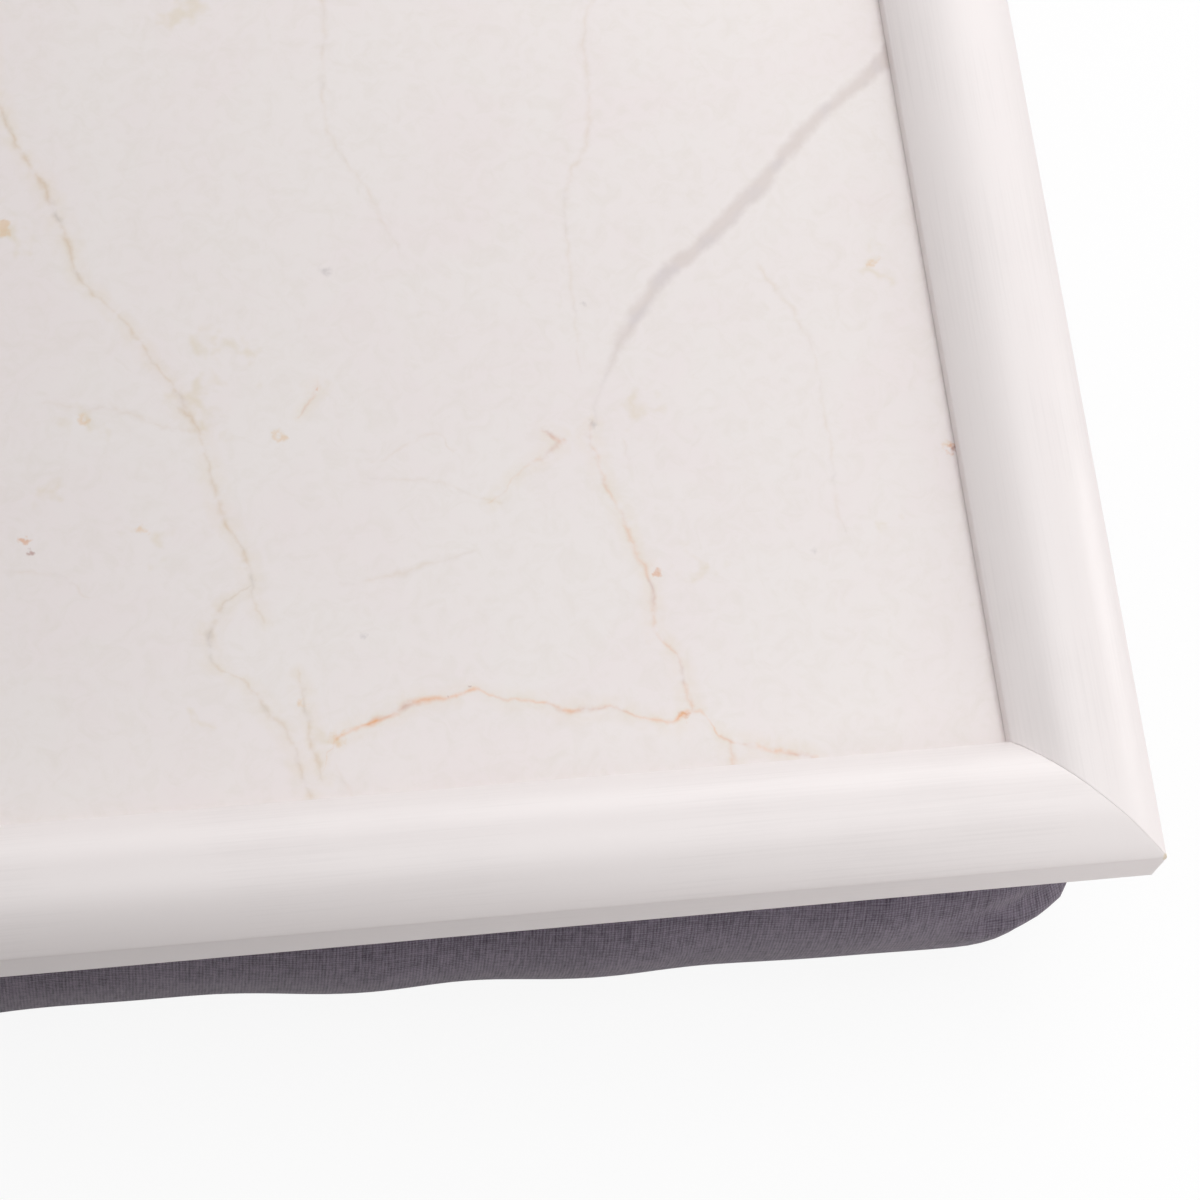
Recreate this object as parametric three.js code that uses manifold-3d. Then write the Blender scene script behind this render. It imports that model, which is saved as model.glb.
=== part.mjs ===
// Lap tray: a mitred, domed picture-frame rim round a printed panel, on a bead-filled cushion
// that hooks on below. Millimetres, +Z up, origin on the floor under the middle of the tray,
// +X along the long side and -Y towards the user.
import * as THREE from 'three';
import { mergeVertices } from 'three/addons/utils/BufferGeometryUtils.js';
import Module from 'manifold-3d';

// Rim, outside
const trayLength = 440;
const trayDepth = 340;

// Rail moulding: a square outer side, one domed arc over the top, a thin sight edge inside
const railWidth = 24;
const railSide = 10.5;
const domeRise = 5.3;
const sightEdge = 2.6;
const arrisRound = 0.8;
const rebateWidth = 7;
const mitreGlue = 0.15;
const railClearance = 0.3;

// Panel and its printed face, held up in the rebate
const panelThickness = 3;
const sheetThickness = 0.5;
const panelClearance = 0.5;
const glueLine = 0.1;

// Steel fixings, driven from below and from the rebate
const nailLeg = 5;
const nailThickness = 0.6;
const nailHeight = 8;
const nailSink = 0.3;
const nailEdge = 2.5;
const tabWidth = 6;
const tabBite = 8;
const tabGrip = 6;
const tabThickness = 0.5;
const longRailTabs = 3;
const shortRailTabs = 2;
const driveClearance = 0.3;

// Hook and loop tape between the panel and the cushion
const tapeWidth = 20;
const longTape = 200;
const shortTape = 120;
const tapeCorner = 3;
const tapeInset = 8;
const hookThickness = 1.4;
const loopThickness = 1.4;

// Cushion: soft shoulders all round, sides drawn in between the corners, a low crown on top
const cushionHeight = 54.6;
const cushionOverhang = 1.2;
const cushionCorner = 30;
const cushionShoulder = 18;
const cushionDrawIn = 3.2;
const cushionCrown = 1.6;
const crownMargin = 6;
const fabricThickness = 0.8;
const seamDepth = 8;
const seamGap = 0.3;
const fillClearance = 0.3;

// Facets of the curved forms
const domeSteps = 8;
const cornerSteps = 6;
const longSideSteps = 9;
const shortSideSteps = 7;
const shoulderSteps = 10;
const crownSteps = 3;

// Levels, from the floor up
const rebateHeight = loopThickness + hookThickness + panelThickness + sheetThickness
  + 5 * glueLine - railClearance;
const railBottom = cushionHeight + railClearance;
const loopBottom = cushionHeight + glueLine;
const hookBottom = loopBottom + loopThickness + glueLine;
const panelBottom = hookBottom + hookThickness + glueLine;
const sheetBottom = panelBottom + panelThickness + glueLine;
const railWeb = railWidth - rebateWidth;

const wasm = await Module();
wasm.setup();

function solidOf(geometry) {
  const bare = geometry.clone();
  bare.deleteAttribute('normal');
  bare.deleteAttribute('uv');
  const merged = mergeVertices(bare, 1e-4);
  const mesh = new wasm.Mesh({
    numProp: 3,
    vertProperties: new Float32Array(merged.attributes.position.array),
    triVerts: new Uint32Array(merged.index.array),
  });
  return new wasm.Manifold(mesh);
}

function geometryOf(solid) {
  const mesh = solid.getMesh();
  const geometry = new THREE.BufferGeometry();
  geometry.setAttribute('position', new THREE.BufferAttribute(mesh.vertProperties, 3));
  geometry.setIndex(new THREE.BufferAttribute(mesh.triVerts, 1));
  geometry.computeVertexNormals();
  return geometry;
}

function extrude(shape, depth, curveSegments) {
  return new THREE.ExtrudeGeometry(shape, { depth, curveSegments, bevelEnabled: false });
}

function piece(name, geometry, colour, roughness, metalness = 0) {
  const mesh = new THREE.Mesh(
    geometry,
    new THREE.MeshStandardMaterial({ color: colour, roughness, metalness }),
  );
  mesh.name = name;
  return mesh;
}

const paintedWood = (name, geometry) => piece(name, geometry, 0xf1edec, 0.4);
const bareBoard = (name, geometry) => piece(name, geometry, 0xa5855c, 0.8);
const printedFace = (name, geometry) => piece(name, geometry, 0xe4dcda, 0.3);
const steel = (name, geometry) => piece(name, geometry, 0xb5b8bb, 0.35, 1);
const tape = (name, geometry) => piece(name, geometry, 0x2c2a2e, 0.95);
const cotton = (name, geometry) => piece(name, geometry, 0x635c66, 0.9);
const beads = (name, geometry) => piece(name, geometry, 0xf3f3f1, 0.9);

// Section of the moulding, from the outer side (x = 0) to the sight edge, standing on y = 0,
// with both arrises eased
function railSection() {
  const outer = new THREE.Vector2(0, railSide);
  const inner = new THREE.Vector2(railWidth, rebateHeight + sightEdge);
  const chord = inner.clone().sub(outer);
  const radius = (chord.length() ** 2 / 4 + domeRise ** 2) / (2 * domeRise);
  const up = new THREE.Vector2(-chord.y, chord.x).normalize();
  const centre = outer.clone().add(inner).multiplyScalar(0.5).addScaledVector(up, domeRise - radius);
  const eased = arrisRound / radius;
  const domeStart = outer.clone().sub(centre).angle() - eased;
  const domeEnd = inner.clone().sub(centre).angle() + eased;
  const firstX = centre.x + radius * Math.cos(domeStart);
  const firstY = centre.y + radius * Math.sin(domeStart);
  const section = new THREE.Shape();
  section.moveTo(0, 0);
  section.lineTo(0, railSide - arrisRound);
  section.quadraticCurveTo(outer.x, outer.y, firstX, firstY);
  section.absarc(centre.x, centre.y, radius, domeStart, domeEnd, true);
  section.quadraticCurveTo(inner.x, inner.y, railWidth, inner.y - arrisRound);
  section.lineTo(railWidth, rebateHeight);
  section.lineTo(railWeb, rebateHeight);
  section.lineTo(railWeb, 0);
  section.closePath();
  return section;
}

// Two wedges at each mitre: one near the outer side of the web, one near the rebate
const nailPlaces = { outer: nailEdge + nailLeg, inner: railWeb - nailEdge };

// Plan of a V-nail with its bend on the mitre line: one leg runs into each rail
function nailPlan(clearance) {
  const half = nailThickness / 2 + clearance;
  const end = nailLeg + clearance;
  return new THREE.Shape([
    new THREE.Vector2(-half, -end),
    new THREE.Vector2(half, -end),
    new THREE.Vector2(half, -half),
    new THREE.Vector2(end, -half),
    new THREE.Vector2(end, half),
    new THREE.Vector2(-half, half),
  ]);
}

// Slot of one V-nail, measured from the rim's outer corner, open at the underside of the rails
function nailSlot(setback) {
  const slot = extrude(nailPlan(driveClearance), nailSink + nailHeight + 2 * driveClearance, 1);
  return slot.translate(-setback, setback, -driveClearance);
}

// Plan of a panel tab: the pointed end bites into the web, the round end grips the panel.
// y = 0 is the rebate wall.
function tabPlan(clearance) {
  const half = tabWidth / 2 + clearance;
  const point = -tabBite - clearance;
  const plan = new THREE.Shape();
  plan.moveTo(0, point);
  plan.lineTo(half, point + half);
  plan.lineTo(half, tabGrip - half);
  plan.absarc(0, tabGrip - half, half, 0, Math.PI, false);
  plan.lineTo(-half, point + half);
  plan.closePath();
  return plan;
}

const tabSlotHeight = tabThickness + 2 * driveClearance;
const tabBottom = panelBottom - glueLine - tabThickness;

// Middles of evenly spread tabs along a rail
function tabPlaces(length, count) {
  return Array.from({ length: count }, (_, i) => length * ((i + 0.5) / count - 0.5));
}

// One rail of the rim, lying along X with its outer side at y = -reach and its underside at z = 0
function railGeometry(length, reach, tabCount) {
  const bar = extrude(railSection(), length, domeSteps);
  const swap = new THREE.Matrix4().set(
    0, 0, 1, -length / 2,
    1, 0, 0, -reach,
    0, 1, 0, 0,
    0, 0, 0, 1,
  );
  bar.applyMatrix4(swap);
  const corners = bar.attributes.position;
  for (let i = 0; i < corners.count; i += 1) {
    const fromOuterSide = corners.getY(i) + reach;
    const x = corners.getX(i);
    corners.setX(i, x - Math.sign(x) * (fromOuterSide + mitreGlue));
  }
  let rail = solidOf(bar);
  for (const setback of Object.values(nailPlaces)) {
    rail = rail.subtract(solidOf(nailSlot(setback).translate(length / 2, -reach, 0)));
    const leftSlot = nailSlot(setback).rotateZ(-Math.PI / 2).translate(-length / 2, -reach, 0);
    rail = rail.subtract(solidOf(leftSlot));
  }
  for (const place of tabPlaces(length, tabCount)) {
    const slot = extrude(tabPlan(driveClearance), tabSlotHeight, 3);
    slot.translate(place, railWeb - reach, tabBottom - driveClearance - railBottom);
    rail = rail.subtract(solidOf(slot));
  }
  return geometryOf(rail);
}

function tapePlan(length) {
  const x = length / 2;
  const y = tapeWidth / 2;
  const r = tapeCorner;
  const plan = new THREE.Shape();
  plan.absarc(x - r, r - y, r, -Math.PI / 2, 0, false);
  plan.absarc(x - r, y - r, r, 0, Math.PI / 2, false);
  plan.absarc(r - x, y - r, r, Math.PI / 2, Math.PI, false);
  plan.absarc(r - x, r - y, r, Math.PI, Math.PI * 1.5, false);
  plan.closePath();
  return plan;
}

// Distance of the tapes' outer edge from the rim's outer side: clear of the tabs' round ends
const tapeSetback = railWeb + tabGrip + tapeInset;

// Everything that repeats on the four sides: rail, tabs and tapes
function sideGroup(side) {
  const { name, turn, length, reach, tabCount, tapeLength } = side;
  const group = new THREE.Group();
  group.rotation.z = turn;

  const rail = paintedWood(`${name}_rail`, railGeometry(length, reach, tabCount));
  rail.position.z = railBottom;
  group.add(rail);

  tabPlaces(length, tabCount).forEach((place, i) => {
    const tab = steel(`panel_tab_${name}_${i + 1}`, extrude(tabPlan(0), tabThickness, 3));
    tab.position.set(place, railWeb - reach, tabBottom);
    group.add(tab);
  });

  const tapeMiddle = tapeSetback + tapeWidth / 2 - reach;
  const hook = tape(`hook_strip_${name}`, extrude(tapePlan(tapeLength), hookThickness, 2));
  hook.position.set(0, tapeMiddle, hookBottom);
  const loop = tape(`loop_strip_${name}`, extrude(tapePlan(tapeLength), loopThickness, 2));
  loop.position.set(0, tapeMiddle, loopBottom);
  group.add(hook, loop);
  return group;
}

// The two V-nails of one corner, in a frame whose origin is the rim's outer corner
function cornerGroup(name, x, y, turn) {
  const group = new THREE.Group();
  group.position.set(x, y, railBottom + nailSink);
  group.rotation.z = turn;
  for (const [place, setback] of Object.entries(nailPlaces)) {
    const nail = steel(`v_nail_${name}_${place}`, extrude(nailPlan(0), nailHeight, 1));
    nail.position.set(-setback, setback, 0);
    group.add(nail);
  }
  return group;
}

// The board and its printed face share one outline, clear of the rebate walls
function panelGeometry(thickness) {
  const length = trayLength - 2 * (railWeb + panelClearance);
  const depth = trayDepth - 2 * (railWeb + panelClearance);
  return new THREE.BoxGeometry(length, depth, thickness).translate(0, 0, thickness / 2);
}

// One level outline of the cushion, anticlockwise: corner arcs joined by drawn-in sides
function cushionRing(inset, z) {
  const halfLength = trayLength / 2 + cushionOverhang - inset;
  const halfDepth = trayDepth / 2 + cushionOverhang - inset;
  const radius = cushionCorner - inset;
  const arcCentre = new THREE.Vector2(halfLength - radius, halfDepth - radius);
  const signs = [[1, -1], [1, 1], [-1, 1], [-1, -1]];
  const ring = [];
  signs.forEach(([sx, sy], corner) => {
    const start = (corner - 1) * Math.PI / 2;
    for (let i = 0; i <= cornerSteps; i += 1) {
      const angle = start + (Math.PI / 2) * (i / cornerSteps);
      const x = sx * arcCentre.x + radius * Math.cos(angle);
      const y = sy * arcCentre.y + radius * Math.sin(angle);
      ring.push(new THREE.Vector3(x, y, z));
    }
    const alongY = corner % 2 === 0;
    const steps = alongY ? shortSideSteps : longSideSteps;
    for (let i = 1; i < steps; i += 1) {
      const share = i / steps;
      const drawn = cushionDrawIn * Math.sin(Math.PI * share) ** 2;
      const along = 1 - 2 * share;
      if (alongY) {
        ring.push(new THREE.Vector3(sx * (halfLength - drawn), sy * arcCentre.y * along, z));
      } else {
        ring.push(new THREE.Vector3(sx * arcCentre.x * along, sy * (halfDepth - drawn), z));
      }
    }
  });
  return ring;
}

// Closed skin over level rings, from the middle of the base to the middle of the crown
function loft(rings, baseMiddle, topMiddle) {
  const count = rings[0].length;
  const points = [...rings.flat(), baseMiddle, topMiddle];
  const base = points.length - 2;
  const top = points.length - 1;
  const lastRing = (rings.length - 1) * count;
  const faces = [];
  for (let i = 0; i < count; i += 1) {
    const next = (i + 1) % count;
    faces.push(base, next, i);
    faces.push(top, lastRing + i, lastRing + next);
    for (let row = 0; row < lastRing; row += count) {
      faces.push(row + i, row + next, row + count + next);
      faces.push(row + i, row + count + next, row + count + i);
    }
  }
  const geometry = new THREE.BufferGeometry().setFromPoints(points);
  geometry.setIndex(faces);
  geometry.computeVertexNormals();
  return geometry;
}

// The cushion's whole form, drawn in by an even depth all over
function cushionForm(depth) {
  const bottom = depth;
  const top = cushionHeight - depth;
  const rings = [];
  for (let i = 0; i <= shoulderSteps; i += 1) {
    const angle = Math.PI * (i / shoulderSteps - 0.5);
    const inset = depth + cushionShoulder * (1 - Math.cos(angle));
    rings.push(cushionRing(inset, bottom + (top - bottom) * (1 + Math.sin(angle)) / 2));
  }
  const flat = rings[shoulderSteps];
  const crownReach = tapeSetback + tapeWidth + crownMargin;
  const crownLength = (trayLength / 2 - crownReach) / Math.max(...flat.map((point) => point.x));
  const crownDepth = (trayDepth / 2 - crownReach) / Math.max(...flat.map((point) => point.y));
  for (let i = 0; i < crownSteps; i += 1) {
    const share = 1 - i / crownSteps;
    const rise = cushionCrown * (1 - share ** 2);
    rings.push(flat.map((point) => new THREE.Vector3(
      point.x * share * crownLength,
      point.y * share * crownDepth,
      top + rise,
    )));
  }
  return loft(rings, new THREE.Vector3(0, 0, bottom), new THREE.Vector3(0, 0, top + cushionCrown));
}

// Cover in two pieces, parted along the seam under the rails, round one body of beads
function cushionGroup() {
  const group = new THREE.Group();
  const cover = solidOf(cushionForm(0)).subtract(solidOf(cushionForm(fabricThickness)));
  const seam = cushionHeight - seamDepth;
  const above = new THREE.BoxGeometry(trayLength * 2, trayDepth * 2, cushionHeight);
  const below = above.clone();
  above.translate(0, 0, seam + seamGap / 2 + cushionHeight / 2);
  below.translate(0, 0, seam - seamGap / 2 - cushionHeight / 2);
  group.add(cotton('cushion_shell', geometryOf(cover.intersect(solidOf(below)))));
  group.add(cotton('cushion_top', geometryOf(cover.intersect(solidOf(above)))));
  group.add(beads('bead_filling', cushionForm(fabricThickness + fillClearance)));
  return group;
}

const longSide = { length: trayLength, reach: trayDepth / 2, tabCount: longRailTabs, tapeLength: longTape };
const shortSide = { length: trayDepth, reach: trayLength / 2, tabCount: shortRailTabs, tapeLength: shortTape };

const lapTray = new THREE.Group();
lapTray.add(
  sideGroup({ name: 'front', turn: 0, ...longSide }),
  sideGroup({ name: 'right', turn: Math.PI / 2, ...shortSide }),
  sideGroup({ name: 'back', turn: Math.PI, ...longSide }),
  sideGroup({ name: 'left', turn: -Math.PI / 2, ...shortSide }),
  cornerGroup('front_right', trayLength / 2, -trayDepth / 2, 0),
  cornerGroup('back_right', trayLength / 2, trayDepth / 2, Math.PI / 2),
  cornerGroup('back_left', -trayLength / 2, trayDepth / 2, Math.PI),
  cornerGroup('front_left', -trayLength / 2, -trayDepth / 2, -Math.PI / 2),
);

const panel = bareBoard('tray_panel', panelGeometry(panelThickness));
panel.position.z = panelBottom;
const sheet = printedFace('marble_sheet', panelGeometry(sheetThickness));
sheet.position.z = sheetBottom;
lapTray.add(panel, sheet, cushionGroup());

export default lapTray;
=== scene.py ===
import math

import bpy
import numpy as np
from mathutils import Matrix, Vector


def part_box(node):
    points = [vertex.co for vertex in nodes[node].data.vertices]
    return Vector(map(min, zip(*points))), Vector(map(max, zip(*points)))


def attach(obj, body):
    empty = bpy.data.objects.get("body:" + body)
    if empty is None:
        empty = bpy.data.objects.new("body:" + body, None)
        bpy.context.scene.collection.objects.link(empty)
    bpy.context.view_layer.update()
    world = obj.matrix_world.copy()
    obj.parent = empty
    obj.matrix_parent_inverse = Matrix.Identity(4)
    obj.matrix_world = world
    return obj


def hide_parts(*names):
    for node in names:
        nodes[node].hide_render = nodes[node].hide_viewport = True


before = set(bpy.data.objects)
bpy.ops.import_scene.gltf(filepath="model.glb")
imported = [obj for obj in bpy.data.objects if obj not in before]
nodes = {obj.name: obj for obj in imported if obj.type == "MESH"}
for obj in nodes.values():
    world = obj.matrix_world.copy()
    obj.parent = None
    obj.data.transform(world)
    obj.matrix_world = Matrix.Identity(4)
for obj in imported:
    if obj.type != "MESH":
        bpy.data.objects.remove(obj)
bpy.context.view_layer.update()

mm = 0.001
cornerSigns = ((1, -1), (1, 1), (-1, 1), (-1, -1))  # x and y of the four corners, anticlockwise


def linear(hexColour):  # sRGB hex to linear RGBA
    parts = [int(hexColour[i:i + 2], 16) / 255 for i in (1, 3, 5)]
    return [c / 12.92 if c <= 0.04045 else ((c + 0.055) / 1.055) ** 2.4 for c in parts] + [1.0]


def addNode(tree, kind, inputs=None, stops=None, curve=None, **settings):
    # inputs: socket -> value, or another node's output to link; stops: (place, hex) for a ramp
    made = tree.nodes.new(kind)
    for key, value in settings.items():
        setattr(made, key, value)
    for key, value in (inputs or {}).items():
        if isinstance(value, bpy.types.NodeSocket):
            tree.links.new(value, made.inputs[key])
        else:
            made.inputs[key].default_value = value
    if stops:
        elements = made.color_ramp.elements
        while len(elements) < len(stops):
            elements.new(0.5)
        for element, (place, colour) in zip(elements, stops):
            element.position = place
            element.color = linear(colour)
    if curve:  # curve points in the units of the value itself
        made.mapping.use_clip = False
        made.mapping.extend = "HORIZONTAL"
        points = made.mapping.curves[0].points
        while len(points) < len(curve):
            points.new(0.5, 0.5)
        for point, place in zip(points, curve):
            point.location = place
            point.handle_type = "AUTO_CLAMPED"
        made.mapping.update()
    return made


def newMaterial(name, colour, roughness, **sockets):  # Principled material with its constant sockets set
    material = bpy.data.materials.new(name)
    material.use_nodes = True
    tree = material.node_tree
    shader = tree.nodes["Principled BSDF"]
    shader.inputs["Base Color"].default_value = linear(colour)
    shader.inputs["Roughness"].default_value = roughness
    for socket, value in sockets.items():
        shader.inputs[socket.replace("_", " ")].default_value = value
    return material, tree, shader


def placeInMm(tree):  # place on the part in mm, so that every pattern has its real size
    place = addNode(tree, "ShaderNodeTexCoord").outputs["Object"]
    return addNode(tree, "ShaderNodeVectorMath", {0: place, "Scale": 1 / mm}, operation="SCALE").outputs[0]


def meshObject(name, points, faces, material=None, sharp=None):
    mesh = bpy.data.meshes.new(name)
    mesh.from_pydata([tuple(p) for p in points], [], faces)
    mesh.validate()
    mesh.update()
    made = bpy.data.objects.new(name, mesh)
    bpy.context.scene.collection.objects.link(made)
    if material:
        mesh.materials.append(material)
    mesh.shade_smooth()
    if sharp:
        mesh.set_sharp_from_angle(angle=math.radians(sharp))
    return made


def dress(node, material):  # a CAD node that keeps its shape gets a finish
    mesh = nodes[node].data
    mesh.materials.clear()
    mesh.materials.append(material)


# Camera: close over the front right corner, looking down, tilted as the photograph is
cameraView = dict(azimuth=-24.18, elevation=67.75, roll=18.28,  # degrees
                  aim=(127.2, -112.7, 61.3), distance=644.8, lens=109.3, sensor=36, nearest=0.01, farthest=50)


def placeCamera(v):
    a, e, r = (math.radians(v[k]) for k in ("azimuth", "elevation", "roll"))
    back = Vector((math.sin(a) * math.cos(e), -math.cos(a) * math.cos(e), math.sin(e)))
    level = Vector((math.cos(a), math.sin(a), 0))
    upright = back.cross(level)
    right = level * math.cos(r) + upright * math.sin(r)
    up = upright * math.cos(r) - level * math.sin(r)
    data = bpy.data.cameras.new("camera")
    data.lens = v["lens"]
    data.sensor_width = v["sensor"]
    data.clip_start = v["nearest"]
    data.clip_end = v["farthest"]
    camera = bpy.data.objects.new("camera", data)
    bpy.context.scene.collection.objects.link(camera)
    place = (Vector(v["aim"]) + back * v["distance"]) * mm
    camera.matrix_world = Matrix.Translation(place) @ Matrix((right, up, back)).transposed().to_4x4()
    bpy.context.scene.camera = camera


placeCamera(cameraView)
print("camera placed")


# Stage: a pale floor that stays white to the camera but keeps the shadow, and soft studio light
stageSet = dict(floorRadius=6.0, floorSides=96, floorDrop=0.0002, floorColour="#d8cfce",
                floorSeen="#ffffff", floorGlow=0.9, glowFrom=0.35, glowTo=1.4, ambient=0.02)
softLights = [  # name, place, aim, width and height, watts
    ("keyWindow", (0.34, 0.36, 0.34), (0.15, -0.13, 0.06), (0.3, 0.36), 0.75),
    ("backWindow", (0.05, 0.5, 0.4), (0.15, -0.13, 0.06), (0.5, 0.4), 1.02),
    ("cornerWindow", (0.55, 0.3, 0.35), (0.15, -0.13, 0.06), (0.4, 0.4), 0.62),
    ("ceilingPanel", (0.25, -0.05, 0.9), (0.15, -0.1, 0.0), (0.6, 0.6), 2.95),
    ("frontPanel", (0.3, -0.45, 0.4), (0.15, -0.13, 0.05), (0.3, 0.3), 0.55),
    ("frontFill", (0.38, -0.34, 0.15), (0.2, -0.16, 0.05), (0.16, 0.14), 0.2),
    ("sideWindow", (0.6, 0.02, 0.2), (0.2, -0.12, 0.06), (0.06, 0.16), 0.21),
    ("leftCard", (-0.55, -0.1, 0.4), (0.2, -0.1, 0.06), (0.5, 0.4), 1.0),
]


def seenRays(tree):  # 1 on the rays that show the background: straight, off a shiny face or through glass
    path = addNode(tree, "ShaderNodeLightPath").outputs
    seen = path["Is Camera Ray"]
    for ray in ("Is Glossy Ray", "Is Transmission Ray"):
        seen = addNode(tree, "ShaderNodeMath", {0: seen, 1: path[ray]}, operation="MAXIMUM").outputs[0]
    return seen


def buildFloor(s):
    turns = np.linspace(0, 2 * math.pi, s["floorSides"], False)
    rim = [(math.cos(t) * s["floorRadius"], math.sin(t) * s["floorRadius"], -s["floorDrop"]) for t in turns]
    floor = meshObject("floor", rim, [list(range(len(rim)))])
    paper, tree, shader = newMaterial("studio paper, matt", s["floorColour"], 0.9, Specular_IOR_Level=0.2)
    seen = seenRays(tree)
    tone = addNode(tree, "ShaderNodeMix", data_type="RGBA", inputs={
        "Factor": seen, "A": linear(s["floorColour"]), "B": linear(s["floorSeen"])})
    tree.links.new(tone.outputs["Result"], shader.inputs["Base Color"])
    place = addNode(tree, "ShaderNodeTexCoord").outputs["Object"]
    away = addNode(tree, "ShaderNodeVectorMath", {0: place}, operation="LENGTH").outputs["Value"]
    spread = {"Value": away, "From Min": s["glowFrom"], "From Max": s["glowTo"], "To Min": s["floorGlow"]}
    fade = addNode(tree, "ShaderNodeMapRange", spread, interpolation_type="SMOOTHSTEP")
    share = addNode(tree, "ShaderNodeMath", {0: seen, 1: fade.outputs[0]}, operation="MULTIPLY")
    glow = addNode(tree, "ShaderNodeEmission", {"Color": (1, 1, 1, 1), "Strength": 1.0})
    mix = addNode(tree, "ShaderNodeMixShader", {
        0: share.outputs[0], 1: shader.outputs[0], 2: glow.outputs[0]})
    tree.links.new(mix.outputs[0], tree.nodes["Material Output"].inputs["Surface"])
    floor.data.materials.append(paper)


def lightStage(s):
    world = bpy.data.worlds.new("studio")
    world.use_nodes = True
    bpy.context.scene.world = world
    tree = world.node_tree
    tree.nodes.clear()
    level = addNode(tree, "ShaderNodeMapRange", {
        "Value": seenRays(tree), "To Min": s["ambient"], "To Max": 1.0})
    light = addNode(tree, "ShaderNodeBackground", {"Color": (1, 1, 1, 1), "Strength": level.outputs[0]})
    addNode(tree, "ShaderNodeOutputWorld", {"Surface": light.outputs[0]})
    for name, place, aim, size, watts in softLights:
        data = bpy.data.lights.new(name, "AREA")
        data.shape = "RECTANGLE"
        data.size, data.size_y = size
        data.energy = watts
        lamp = bpy.data.objects.new(name, data)
        bpy.context.scene.collection.objects.link(lamp)
        lamp.location = place
        lamp.rotation_euler = (Vector(place) - Vector(aim)).to_track_quat("Z", "Y").to_euler()
    bpy.context.scene.view_settings.view_transform = "Standard"


buildFloor(stageSet)
lightStage(stageSet)
print("stage lit")


# Satin paint sprayed on primed wood: a soft even sheen, faint grain and orange peel under the film
paintFinish = dict(colour="#f0e9e8", tint=[(0.66, "#ebe4e3"), (1.0, "#f0e9e8")], roughness=0.36,
                   sheenSpread=0.05, cloudMm=30, grainMm=(32, 0.45), grainHeightMm=0.006,
                   peelMm=2.2, peelHeightMm=0.008,
                   chip="#d8c39c", chipMm=(1.4, 1.9), chipShow=0.6, crumbMm=5 / 6, crumbReachMm=1.6)


def satinPaint(p, corner):
    material, tree, shader = newMaterial("satin paint on primed wood, sprayed", p["colour"], p["roughness"],
                                         IOR=1.5)
    inMm = placeInMm(tree)
    along = addNode(tree, "ShaderNodeUVMap", uv_map="grain").outputs[0]
    cloud = addNode(tree, "ShaderNodeTexNoise", {"Vector": inMm, "Scale": 1 / p["cloudMm"], "Detail": 3.0})
    squeeze = (1 / p["grainMm"][0], 1 / p["grainMm"][1], 1)
    stretched = addNode(tree, "ShaderNodeVectorMath", {0: along, 1: squeeze}, operation="MULTIPLY")
    grain = addNode(tree, "ShaderNodeTexNoise", {"Vector": stretched.outputs[0], "Scale": 1.0, "Detail": 3.0})
    both = addNode(tree, "ShaderNodeMath", operation="ADD", inputs={
        0: cloud.outputs["Fac"], 1: grain.outputs["Fac"]})
    tint = addNode(tree, "ShaderNodeValToRGB", {0: both.outputs[0]}, stops=p["tint"])

    # bare wood shows at the very tips of the mitres
    folded = addNode(tree, "ShaderNodeVectorMath", {0: inMm}, operation="ABSOLUTE")
    reach = addNode(tree, "ShaderNodeVectorMath", {0: folded.outputs[0], 1: corner}, operation="DISTANCE")
    crumbs = addNode(tree, "ShaderNodeTexNoise", {"Vector": inMm, "Scale": 1 / p["crumbMm"], "Detail": 2.0})
    ragged = addNode(tree, "ShaderNodeMath", operation="MULTIPLY_ADD", inputs={
        0: crumbs.outputs["Fac"], 1: p["crumbReachMm"], 2: reach.outputs["Value"]})
    bare = addNode(tree, "ShaderNodeMapRange", {
        "Value": ragged.outputs[0], "From Min": p["chipMm"][0], "From Max": p["chipMm"][1],
        "To Min": p["chipShow"], "To Max": 0.0})
    colour = addNode(tree, "ShaderNodeMix", data_type="RGBA", inputs={
        "Factor": bare.outputs[0], "A": tint.outputs[0], "B": linear(p["chip"])})
    tree.links.new(colour.outputs["Result"], shader.inputs["Base Color"])

    peel = addNode(tree, "ShaderNodeTexNoise", {"Vector": inMm, "Scale": 1 / p["peelMm"], "Detail": 2.0})
    sheen = addNode(tree, "ShaderNodeMapRange", {
        "Value": grain.outputs["Fac"], "To Min": p["roughness"] - p["sheenSpread"],
        "To Max": p["roughness"] + p["sheenSpread"]})
    tree.links.new(sheen.outputs[0], shader.inputs["Roughness"])
    low = addNode(tree, "ShaderNodeBump", {
        "Height": grain.outputs["Fac"], "Distance": p["grainHeightMm"] * mm, "Strength": 1.0})
    high = addNode(tree, "ShaderNodeBump", {
        "Height": peel.outputs["Fac"], "Distance": p["peelHeightMm"] * mm, "Strength": 1.0,
        "Normal": low.outputs[0]})
    tree.links.new(high.outputs[0], shader.inputs["Normal"])
    return material


# Rails: mitred lengths of domed moulding with a rebate, each with the slots of its steel fixings
railForm = dict(width=24, side=10.5, rise=5.3, sightEdge=2.6, arris=0.35, softEdge=0.35, rebate=7,
                rebatePlay=0.1, mitreGlue=0.03, ease=0.05, easeRun=0.15, domeSteps=40, arrisSteps=6,
                slotClearance=0.3, slotBelow=2, nailThickness=0.6, sharp=32)


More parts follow.
